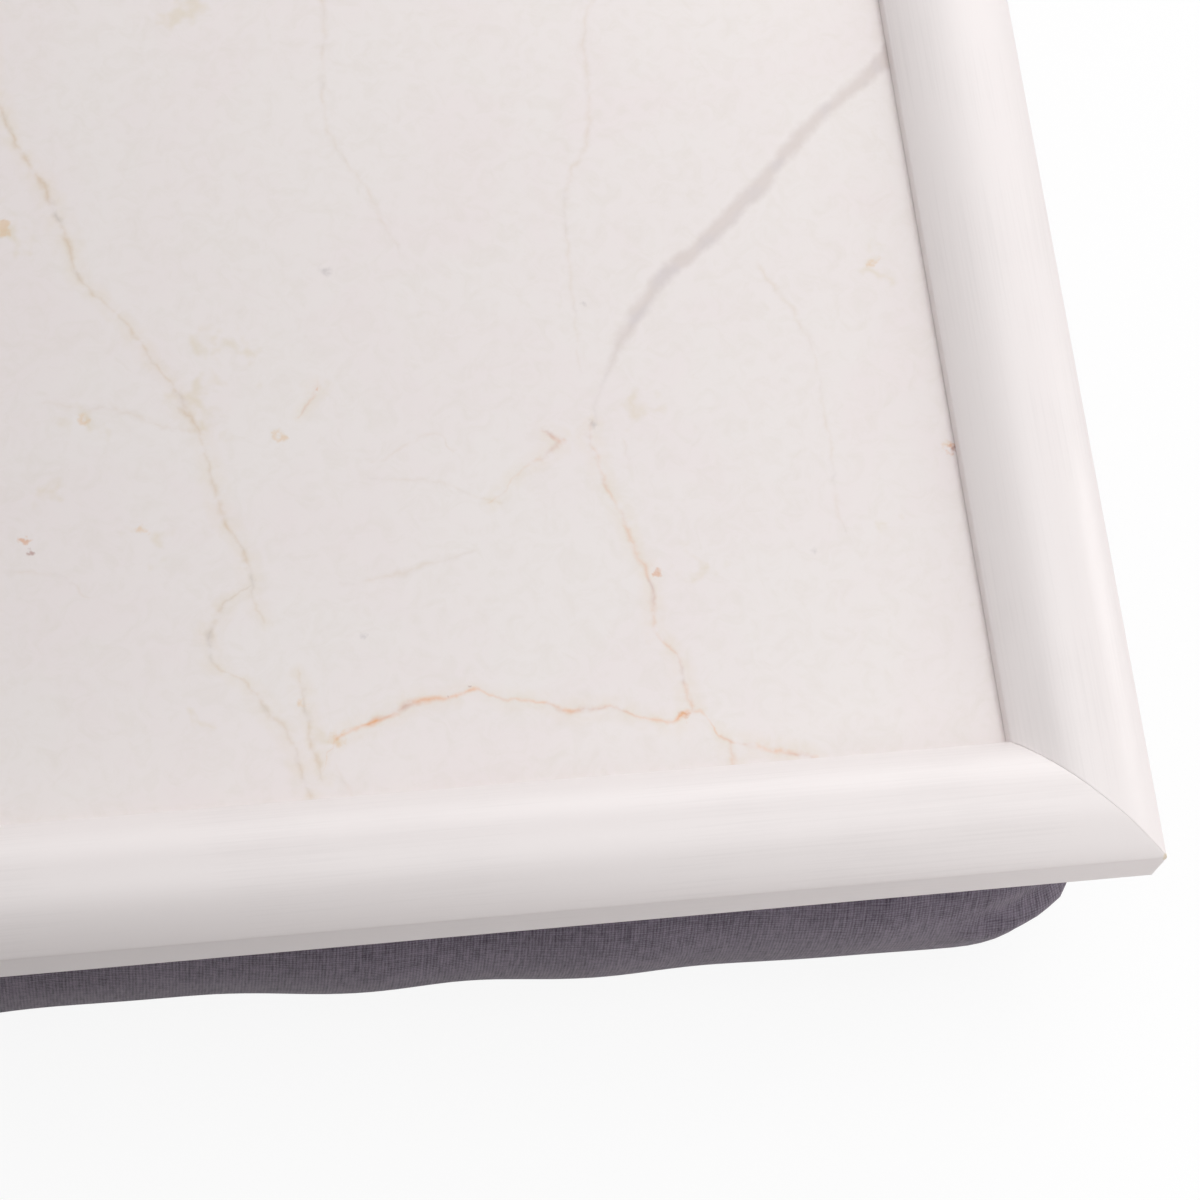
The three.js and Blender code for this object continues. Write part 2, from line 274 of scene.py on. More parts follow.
def railSection(r, rebateHeight):  # (across from the outer side, up from the underside), anticlockwise
    outer = np.array((0.0, r["side"]))
    inner = np.array((r["width"], rebateHeight + r["sightEdge"]))
    chord = inner - outer
    length = math.hypot(*chord)
    radius = (length ** 2 / 4 + r["rise"] ** 2) / (2 * r["rise"])
    centre = (outer + inner) / 2 + np.array((-chord[1], chord[0])) / length * (r["rise"] - radius)
    ease = r["arris"] / radius
    start = math.atan2(*(outer - centre)[::-1]) - ease
    end = math.atan2(*(inner - centre)[::-1]) + ease
    angles = np.linspace(start, end, r["domeSteps"])
    dome = [centre + radius * np.array((math.cos(t), math.sin(t))) for t in angles]

    def eased(a, corner, b):
        shares = np.linspace(0, 1, r["arrisSteps"])
        return [(1 - t) ** 2 * a + 2 * t * (1 - t) * corner + t ** 2 * b for t in shares]

    web = r["width"] - r["rebate"]
    soft = r["softEdge"]  # small rounds on the hidden lower edges
    points = [(soft, 0.0), (0.0, soft)]
    points += eased(outer - (0, r["arris"]), outer, dome[0])
    points += dome[1:-1]
    points += eased(dome[-1], inner, inner - (0, r["arris"]))
    points += [(r["width"], rebateHeight), (web, rebateHeight), (web, soft), (web - soft, 0.0)]
    return np.array(points)


def shrunk(section, by):  # the same section, drawn in along its own normals
    before, after = np.roll(section, 1, 0), np.roll(section, -1, 0)
    tangent = after - before
    normal = np.stack((-tangent[:, 1], tangent[:, 0]), 1)
    normal /= np.linalg.norm(normal, axis=1)[:, None]
    return section - normal * by


def slotPrism(outline, low, high):
    count = len(outline)
    points = [(x, y, z) for z in (low, high) for x, y in outline]
    faces = [list(range(count))[::-1], list(range(count, 2 * count))]
    faces += [[i, (i + 1) % count, (i + 1) % count + count, i + count] for i in range(count)]
    return points, faces


def nailOutline(node, clearance, thickness):  # two legs run outwards from the bend nearest the tray's middle
    low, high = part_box(node)
    sx, sy = math.copysign(1, low.x + high.x), math.copysign(1, low.y + high.y)
    x0, y0 = min(abs(low.x), abs(high.x)) - clearance, min(abs(low.y), abs(high.y)) - clearance
    x1, y1 = max(abs(low.x), abs(high.x)) + clearance, max(abs(low.y), abs(high.y)) + clearance
    leg = thickness + 2 * clearance
    corners = [(x0, y0), (x1, y0), (x1, y0 + leg), (x0 + leg, y0 + leg), (x0 + leg, y1), (x0, y1)]
    corners = [(sx * x, sy * y) for x, y in corners]
    return corners if sx * sy > 0 else corners[::-1]


def tabOutline(node, clearance):
    low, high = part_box(node)
    x0, y0, x1, y1 = low.x - clearance, low.y - clearance, high.x + clearance, high.y + clearance
    return [(x0, y0), (x1, y0), (x1, y1), (x0, y1)]


def cutSlots(rail, prisms):
    points, faces = [], []
    for cornerPoints, cornerFaces in prisms:
        faces += [[i + len(points) for i in face] for face in cornerFaces]
        points += cornerPoints
    cutter = meshObject("slotCutter", points, faces)
    cut = rail.modifiers.new("slots", "BOOLEAN")
    cut.operation = "DIFFERENCE"
    cut.solver = "EXACT"
    cut.object = cutter
    applied = bpy.data.meshes.new_from_object(rail.evaluated_get(bpy.context.evaluated_depsgraph_get()))
    rail.modifiers.clear()
    rail.data = applied
    bpy.data.objects.remove(cutter)


def buildRail(name, turn, length, reach, r, material, nails, tabs):
    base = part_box(name + "_rail")[0].z
    rebateHeight = (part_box("marble_sheet")[1].z - base) / mm + r["rebatePlay"]
    section = railSection(r, rebateHeight)
    count = len(section)
    around = np.concatenate(([0], np.cumsum(np.linalg.norm(np.diff(section, axis=0), axis=1))))
    rings = []
    for side in (-1, 1):  # each end is eased a little just before the mitre
        drawn = shrunk(section, r["ease"])
        steps = [(drawn, 0.0), (section, r["easeRun"]), (section, 4 * r["easeRun"])]
        for profile, back in steps if side < 0 else steps[::-1]:
            x = side * (length / 2 - profile[:, 0] - r["mitreGlue"] - back)
            rings.append(np.stack((x, profile[:, 0] - reach, profile[:, 1] + base / mm), 1))
    points = np.concatenate(rings)
    along, across, up = points.T
    c, s = math.cos(turn), math.sin(turn)
    world = np.stack((along * c - across * s, along * s + across * c, up), 1) * mm
    last = len(rings) - 1
    faces = [list(range(count)), [last * count + i for i in range(count)][::-1]]
    for ring in range(last):
        for i in range(count):
            j = (i + 1) % count
            here, there = ring * count, (ring + 1) * count
            faces.append([here + i, there + i, there + j, here + j])
    rail = meshObject("rail_" + name, world, faces, material)
    uv = rail.data.uv_layers.new(name="grain")
    for loop in rail.data.loops:
        uv.data[loop.index].uv = (along[loop.vertex_index], around[loop.vertex_index % count])
    clear = r["slotClearance"] * mm
    prisms = []
    for node in nails:
        low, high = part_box(node)
        outline = nailOutline(node, clear, r["nailThickness"] * mm)
        prisms.append(slotPrism(outline, low.z - r["slotBelow"] * mm, high.z + clear))
    for node in tabs:
        low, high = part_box(node)
        prisms.append(slotPrism(tabOutline(node, clear), low.z - clear, high.z + clear))
    cutSlots(rail, prisms)
    rail.data.shade_smooth()
    rail.data.set_sharp_from_angle(angle=math.radians(r["sharp"]))
    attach(rail, "tray")
    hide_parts(name + "_rail")


def buildRim(r):
    half = Vector((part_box("right_rail")[1].x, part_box("back_rail")[1].y, 0)) / mm
    tip = (half.x, half.y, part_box("front_rail")[0].z / mm + r["side"])
    paint = satinPaint(paintFinish, tip)
    sides = [("front", 0, 2 * half.x, half.y), ("right", math.pi / 2, 2 * half.y, half.x),
             ("back", math.pi, 2 * half.x, half.y), ("left", -math.pi / 2, 2 * half.y, half.x)]
    for name, turn, length, reach in sides:
        nails = [n for n in nodes if n.startswith("v_nail") and name in n]
        tabs = [n for n in nodes if n.startswith("panel_tab_" + name)]
        buildRail(name, turn, length, reach, r, paint, nails, tabs)


buildRim(railForm)
print("rim built")


# Cotton, plain woven from slubby yarn: upright streaks where the warp thickens, a soft dull bloom
cottonFinish = dict(light="#8e8593", tone=[(0.52, "#443c4a"), (0.9, "#8e8593")],
                    threadMm=0.58, weaveShare=0.22, slubMm=(0.62, 4.5), weftMm=(5.0, 0.6),
                    fuzzMm=(0.45, 0.45), cloudMm=(14, 14),
                    shares=(0.46, 0.3, 0.3, 0.2),  # slubs, weft, fuzz and clouds in the tone
                    slubRelief=0.5, reliefMm=0.1, roughness=0.92)


def wovenCotton(f):
    material, tree, shader = newMaterial("cotton canvas, plain woven", f["light"], f["roughness"], IOR=1.46,
                                         Specular_IOR_Level=0.25, Sheen_Weight=0.25, Sheen_Roughness=0.5)
    uv = addNode(tree, "ShaderNodeUVMap", uv_map="threads").outputs[0]
    scaled = addNode(tree, "ShaderNodeVectorMath", {0: uv, "Scale": 1 / f["threadMm"]}, operation="SCALE")
    split = addNode(tree, "ShaderNodeSeparateXYZ", {0: scaled.outputs[0]})
    heights = []
    for own, other, sign in ((0, 1, 0.5), (1, 0, -0.5)):  # warp, weft: each arches over every second crossing
        phase = addNode(tree, "ShaderNodeMath", {0: split.outputs[own], 1: math.pi}, operation="MULTIPLY")
        bulge = addNode(tree, "ShaderNodeMath", {0: phase.outputs[0]}, operation="SINE")
        bulge = addNode(tree, "ShaderNodeMath", {0: bulge.outputs[0]}, operation="ABSOLUTE")
        thread = addNode(tree, "ShaderNodeMath", {0: split.outputs[own]}, operation="FLOOR")
        shift = addNode(tree, "ShaderNodeMath", operation="ADD", inputs={
            0: split.outputs[other], 1: thread.outputs[0]})
        wave = addNode(tree, "ShaderNodeMath", {0: shift.outputs[0], 1: math.pi}, operation="MULTIPLY")
        wave = addNode(tree, "ShaderNodeMath", {0: wave.outputs[0]}, operation="SINE")
        arch = addNode(tree, "ShaderNodeMath", operation="MULTIPLY_ADD", inputs={
            0: wave.outputs[0], 1: sign, 2: 0.5})
        over = addNode(tree, "ShaderNodeMath", operation="MULTIPLY", inputs={
            0: bulge.outputs[0], 1: arch.outputs[0]})
        heights.append(over.outputs[0])
    weave = addNode(tree, "ShaderNodeMath", dict(enumerate(heights)), operation="MAXIMUM").outputs[0]

    tone = addNode(tree, "ShaderNodeMath", {0: weave, 1: f["weaveShare"]}, operation="MULTIPLY").outputs[0]
    streaks = []
    for kind, share in zip(("slubMm", "weftMm", "fuzzMm", "cloudMm"), f["shares"]):
        squeeze = (1 / f[kind][0], 1 / f[kind][1], 1)
        place = addNode(tree, "ShaderNodeVectorMath", {0: uv, 1: squeeze}, operation="MULTIPLY").outputs[0]
        yarn = kind in ("slubMm", "weftMm")  # a yarn's streaks are plainer than the fuzz, and rougher
        streak = addNode(tree, "ShaderNodeTexNoise", {
            "Vector": place, "Scale": 1.0, "Detail": 1.5 if yarn else 2.5, "Roughness": 0.6 if yarn else 0.5})
        streaks.append(streak.outputs["Fac"])
        tone = addNode(tree, "ShaderNodeMath", operation="MULTIPLY_ADD", inputs={
            0: streaks[-1], 1: share, 2: tone}).outputs[0]
    colour = addNode(tree, "ShaderNodeValToRGB", {0: tone}, stops=f["tone"])
    tree.links.new(colour.outputs[0], shader.inputs["Base Color"])
    height = addNode(tree, "ShaderNodeMath", operation="MULTIPLY_ADD", inputs={
        0: streaks[0], 1: f["slubRelief"], 2: weave})
    bump = addNode(tree, "ShaderNodeBump", {
        "Height": height.outputs[0], "Distance": f["reliefMm"] * mm, "Strength": 1.0})
    tree.links.new(bump.outputs[0], shader.inputs["Normal"])
    return material


# Cushion cover: woven cotton over loose beads, blown out by a cloth simulation, with the seam under the rails
cushionForm = dict(corner=27, shoulder=18, drawIn=3.2, startInset=1.3, topGap=0.1, around=300, arcSteps=40,
                   sideSteps=200, wallSteps=24, flatSteps=11, flatEnd=0.06, crown=1.6, crownStart=0.76,
                   pressure=4.0, frames=20, capMm=6.0, soften=2.2, softenReach=8,
                   seamStep=18, seamDepth=1.7, seamWidth=2.0, puckerMm=11, puckerHeight=0.35, puckerReach=10,
                   puckerClear=1.5, puckerDrift=2.5, driftMm=60, driftSeed=3, fadeMm=90, fadeSeed=4,
                   dentMm=40, dentHeight=0.7, dentSeed=92, wallFade=0.7, foldSeed=11, foldSway=3,
                   folds=[  # from and to along the seam and below it, rise, width, counted from the corner
                       (-22, -18.5, -6, -14.5, 1.3, 3.2), (-20, -11.5, -5, -8, -1.0, 2.8),
                       (-4, -26, 4, -6, -0.7, 3.5), (10, -12, 24, -22, 1.1, 4.0),
                       (16, -34, 30, -30, -0.7, 5.0)])
clothForm = dict(quality=5, mass=0.25, tension=12, compression=12, shear=4, bending=0.4,
                 shrink=-0.004)  # stiff cotton, cut a little full


def cushionOutline(c, halfLength, halfDepth, inset):  # even points and outward normals, anticlockwise
    radius = c["corner"] - inset
    ax, ay = halfLength - inset - radius, halfDepth - inset - radius
    path, normals = [], []
    for corner, (sx, sy) in enumerate(cornerSigns):
        for t in np.linspace(0, 1, c["arcSteps"], False):
            angle = (corner - 1 + t) * math.pi / 2
            normals.append((math.cos(angle), math.sin(angle)))
            path.append((sx * ax + radius * math.cos(angle), sy * ay + radius * math.sin(angle)))
        out = np.array((sx, 0) if corner % 2 == 0 else (0, sy))
        nextX, nextY = cornerSigns[(corner + 1) % 4]
        first = np.array((sx * ax, sy * ay)) + out * radius
        last = np.array((nextX * ax, nextY * ay)) + out * radius
        for t in np.linspace(0, 1, c["sideSteps"], False):
            drawn = c["drawIn"] * math.sin(math.pi * t) ** 2
            path.append(first + (last - first) * t - out * drawn)
            normals.append(out)
    path, normals = np.array(path), np.array(normals)
    closed = np.vstack((path, path[:1]))
    length = np.concatenate(([0], np.cumsum(np.linalg.norm(np.diff(closed, axis=0), axis=1))))
    at = np.linspace(0, length[-1], c["around"], False)
    even = np.stack([np.interp(at, length, closed[:, k]) for k in (0, 1)], 1)
    facing = np.stack([np.interp(at, length, np.append(normals[:, k], normals[0, k])) for k in (0, 1)], 1)
    return even, facing / np.linalg.norm(facing, axis=1)[:, None], length[-1]


def cushionGrid(c, height, halfLength, halfDepth, inset):  # rings from base to top
    outline, facing, perimeter = cushionOutline(c, halfLength, halfDepth, inset)
    shoulder = c["shoulder"] - inset / 2
    rings = []
    for angle in np.linspace(-math.pi / 2, math.pi / 2, c["wallSteps"] + 1):
        level = outline - facing * shoulder * (1 - math.cos(angle))
        rings.append(np.column_stack((level, np.full(len(level), height * (1 + math.sin(angle)) / 2))))
    shares = np.linspace(1, c["flatEnd"], c["flatSteps"] + 1)[1:]
    base = [rings[0] * (s, s, 1) for s in shares[::-1]]
    top = []
    for s in shares:
        rise = c["crown"] * max(0.0, 1 - (s / c["crownStart"]) ** 2)
        top.append(rings[-1] * (s, s, 1) + (0, 0, rise))
    return np.array(base + rings + top), perimeter


def gridFaces(rows, count):
    faces = [list(range(count))[::-1], [(rows - 1) * count + i for i in range(count)]]
    for row in range(rows - 1):
        for i in range(count):
            j = (i + 1) % count
            faces.append([row * count + i, row * count + j, (row + 1) * count + j, (row + 1) * count + i])
    return faces


def inflate(grid, c):  # pressure cloth on the grid; base and top stay pressed flat
    rows, count, _ = grid.shape
    blown = meshObject("cushionCloth", grid.reshape(-1, 3) * mm, gridFaces(rows, count))
    held = blown.vertex_groups.new(name="pressed")
    firstWall, lastWall = c["flatSteps"], c["flatSteps"] + c["wallSteps"]
    held.add([i for i in range(rows * count) if not firstWall < i // count < lastWall], 1.0, "REPLACE")
    cloth = blown.modifiers.new("cotton", "CLOTH")
    cloth.settings.quality = clothForm["quality"]
    cloth.settings.mass = clothForm["mass"]
    cloth.settings.tension_stiffness = clothForm["tension"]
    cloth.settings.compression_stiffness = clothForm["compression"]
    cloth.settings.shear_stiffness = clothForm["shear"]
    cloth.settings.bending_stiffness = clothForm["bending"]
    cloth.settings.shrink_min = clothForm["shrink"]
    cloth.settings.use_pressure = True
    cloth.settings.uniform_pressure_force = c["pressure"]
    cloth.settings.vertex_group_mass = "pressed"
    cloth.settings.effector_weights.gravity = 0
    cloth.collision_settings.use_collision = False
    cloth.collision_settings.use_self_collision = False
    cloth.point_cache.frame_start = 1
    cloth.point_cache.frame_end = c["frames"]
    scene = bpy.context.scene
    for step in range(1, c["frames"] + 1):
        scene.frame_set(step)
    evaluated = blown.evaluated_get(bpy.context.evaluated_depsgraph_get())
    swollen = np.zeros(rows * count * 3)
    evaluated.data.vertices.foreach_get("co", swollen)
    scene.frame_set(1)
    bpy.data.objects.remove(blown)
    moved = swollen.reshape(rows, count, 3) / mm - grid
    reach = np.arange(-c["softenReach"], c["softenReach"] + 1)
    weights = np.exp(-0.5 * (reach / c["soften"]) ** 2)
    moved = sum(w * np.roll(moved, k, 1) for w, k in zip(weights, reach)) / weights.sum()
    far = np.linalg.norm(moved, axis=2, keepdims=True)
    return grid + moved * np.minimum(1, c["capMm"] / np.maximum(far, 1e-9))


def refine(grid):  # twice as many points each way, on smooth cubics
    ring = np.empty((grid.shape[0], grid.shape[1] * 2, 3))
    ring[:, 0::2] = grid
    ring[:, 1::2] = (9 * (grid + np.roll(grid, -1, 1)) - np.roll(grid, 1, 1) - np.roll(grid, -2, 1)) / 16
    padded = np.concatenate((2 * ring[:1] - ring[1:2], ring, 2 * ring[-1:] - ring[-2:-1]))
    fine = np.empty((grid.shape[0] * 2 - 1, ring.shape[1], 3))
    fine[0::2] = ring
    fine[1::2] = (9 * (padded[1:-2] + padded[2:-1]) - padded[:-3] - padded[3:]) / 16
    return fine


def gridNormals(grid):
    across = np.roll(grid, -1, 1) - np.roll(grid, 1, 1)
    upward = np.gradient(grid, axis=0)
    normal = np.cross(across, upward)
    return normal / np.maximum(np.linalg.norm(normal, axis=2, keepdims=True), 1e-9)


def smoothNoise(points, size, seed):  # sum of seeded plane waves, about -1 to 1
    waves, calm = 14, 5
    draw = np.random.default_rng(seed)
    total = np.zeros(points.shape[:-1])
    for _ in range(waves):
        direction = draw.normal(size=3)
        direction /= np.linalg.norm(direction)
        wave = 2 * math.pi / (size * draw.uniform(0.7, 1.5))
        total += np.sin(points @ direction * wave + draw.uniform(0, 2 * math.pi))
    return total / calm


def cornerFolds(c, around, fromSeam, perimeter):  # soft ridges and hollows, each a short line on the cloth
    draw = np.random.default_rng(c["foldSeed"])
    height = np.zeros((len(fromSeam), len(around)))
    facing = cushionOutline(c, *(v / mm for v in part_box("cushion_shell")[1].xy), 0)[1]
    turn = np.unwrap(np.arctan2(facing[:, 1], facing[:, 0]))
    places = np.arange(len(turn)) * perimeter / len(turn)
    for corner in range(4):
        middle = np.interp((corner - 0.5) * math.pi / 2, turn, places)
        fromCorner = (around[None, :] - middle + perimeter / 2) % perimeter - perimeter / 2
        for u0, v0, u1, v1, rise, width in c["folds"]:
            sway = draw.uniform(-c["foldSway"], c["foldSway"], 4)
            sway = sway * (corner > 0)  # the photographed corner keeps its folds as written
            startU, startV = u0 + sway[0], v0 + sway[1]
            runU, runV = u1 + sway[2] - startU, v1 + sway[3] - startV
            du, dv = fromCorner - startU, fromSeam - startV
            past = np.clip((du * runU + dv * runV) / (runU ** 2 + runV ** 2), 0, 1)
            gap = np.hypot(du - past * runU, dv - past * runV)
            height += rise * np.exp(-(gap / width) ** 2)
    return height


def clothRelief(c, grid, fromSeam, around, perimeter):  # seam groove, puckers, dents of the beads, folds
    groove = -c["seamDepth"] * np.exp(-(fromSeam / c["seamWidth"]) ** 2)
    line = np.stack((around, around * 0, around * 0), 1)
    drift = c["puckerDrift"] * smoothNoise(line, c["driftMm"], c["driftSeed"])
    fading = 0.5 + 0.5 * smoothNoise(line, c["fadeMm"], c["fadeSeed"])
    pucker = np.sin(2 * math.pi * around / c["puckerMm"] + drift) * fading
    near = np.exp(-(fromSeam / c["puckerReach"]) ** 2) * (1 - np.exp(-(fromSeam / c["puckerClear"]) ** 2))
    dents = c["dentHeight"] * smoothNoise(grid, c["dentMm"], c["dentSeed"])
    return groove + c["puckerHeight"] * pucker * near + dents + cornerFolds(c, around, fromSeam, perimeter)


def mapThreads(cover, grid, around, run, perimeter, firstWall, seamRow):  # warp stands upright on the walls
    count = grid.shape[1]
    uv = cover.data.uv_layers.new(name="threads")
    for face in cover.data.polygons:
        corners = [cover.data.loops[i].vertex_index for i in face.loop_indices]
        columns = [v % count for v in corners]
        level = min(v // count for v in corners)
        flat = level < firstWall or level >= seamRow or len(corners) > 4
        wraps = max(columns) - min(columns) > count // 2
        for loop, vertex in zip(face.loop_indices, corners):
            row, column = divmod(vertex, count)
            if flat:
                uv.data[loop].uv = grid[row, column, :2]
            else:
                u = around[column] + (perimeter if wraps and column < count // 2 else 0)
                uv.data[loop].uv = (u, run[row])


def buildCushion(c):
    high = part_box("cushion_shell")[1] / mm
    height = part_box("loop_strip_front")[0].z / mm - c["topGap"]
    grid, perimeter = cushionGrid(c, height, high.x, high.y, c["startInset"])
    grid = inflate(grid, c)
    grid[:, :, 2] = np.clip(grid[:, :, 2], 0.0, None)
    wall = slice(c["flatSteps"], c["flatSteps"] + c["wallSteps"] + 1)
    grid[wall, :, 2] = np.minimum(grid[wall, :, 2], height)
    grid = refine(grid)
    rows, count, _ = grid.shape

    step = np.linalg.norm(np.diff(grid, axis=0), axis=2).mean(1)
    run = np.concatenate(([0], np.cumsum(step)))
    seamRow = 2 * (c["flatSteps"] + c["seamStep"])
    fromSeam = (run - run[seamRow])[:, None]
    around = np.arange(count) * perimeter / count
    firstWall, lastWall = 2 * c["flatSteps"], 2 * (c["flatSteps"] + c["wallSteps"])
    onWall = np.zeros((rows, 1))
    wallShare = np.linspace(0, 1, lastWall - firstWall + 1)
    onWall[firstWall:lastWall + 1, 0] = np.sin(math.pi * wallShare) ** c["wallFade"]
    relief = clothRelief(c, grid, fromSeam, around, perimeter) * onWall
    grid = grid + gridNormals(grid) * relief[:, :, None]
    grid[:, :, 2] = np.maximum(grid[:, :, 2], 0.0)

    faces = gridFaces(rows, count)
    cover = meshObject("cushion_cover", grid.reshape(-1, 3) * mm, faces, wovenCotton(cottonFinish))
    mapThreads(cover, grid, around, run, perimeter, firstWall, seamRow)
    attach(cover, "cushion")
    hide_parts("cushion_shell", "cushion_top", "bead_filling")


buildCushion(cushionForm)
print("cushion blown")


# Printed melamine face: warm white marble with thin soft veins, satin from the press plate
marbleFinish = dict(white="#ece5e3", mottle=[(0.38, "#ece3e2"), (0.6, "#ece5e3")], roughness=0.36,
                    mottleMm=30, cloud="#e3dbd4", cloudMm=4.5, cloudRange=(0.45, 0.75), cloudShow=0.45,
                    wanderMm=(9, 1.2), frayMm=(2.6, 0.9),  # size and reach
                    breakMm=3.2, breakRange=(0.34, 0.62), breakShow=(0.25, 1.6),
                    warmMm=6, warmFrom=0.3, warmTo=0.52,
                    halo="#dcc9a0", haloMm=3.2, haloEdgeMm=0.5, haloShow=0.16,
                    veinEndMm=3, pastEnd=-4, linenMm=0.55, linenHeightMm=0.004)
veinInks = dict(  # cool and warm end of each ink, strength, soft edge in mm
    tan=("#a09598", "#c4a176", 0.32, 0.95), faint=("#a99a97", "#c8ab80", 0.17, 1.0),
    rust=("#b98475", "#e69748", 0.54, 0.8), blush=("#b38b8c", "#dca680", 0.42, 0.85),
    mauve=("#bfb3b5", "#c9bab4", 0.46, 1.5))
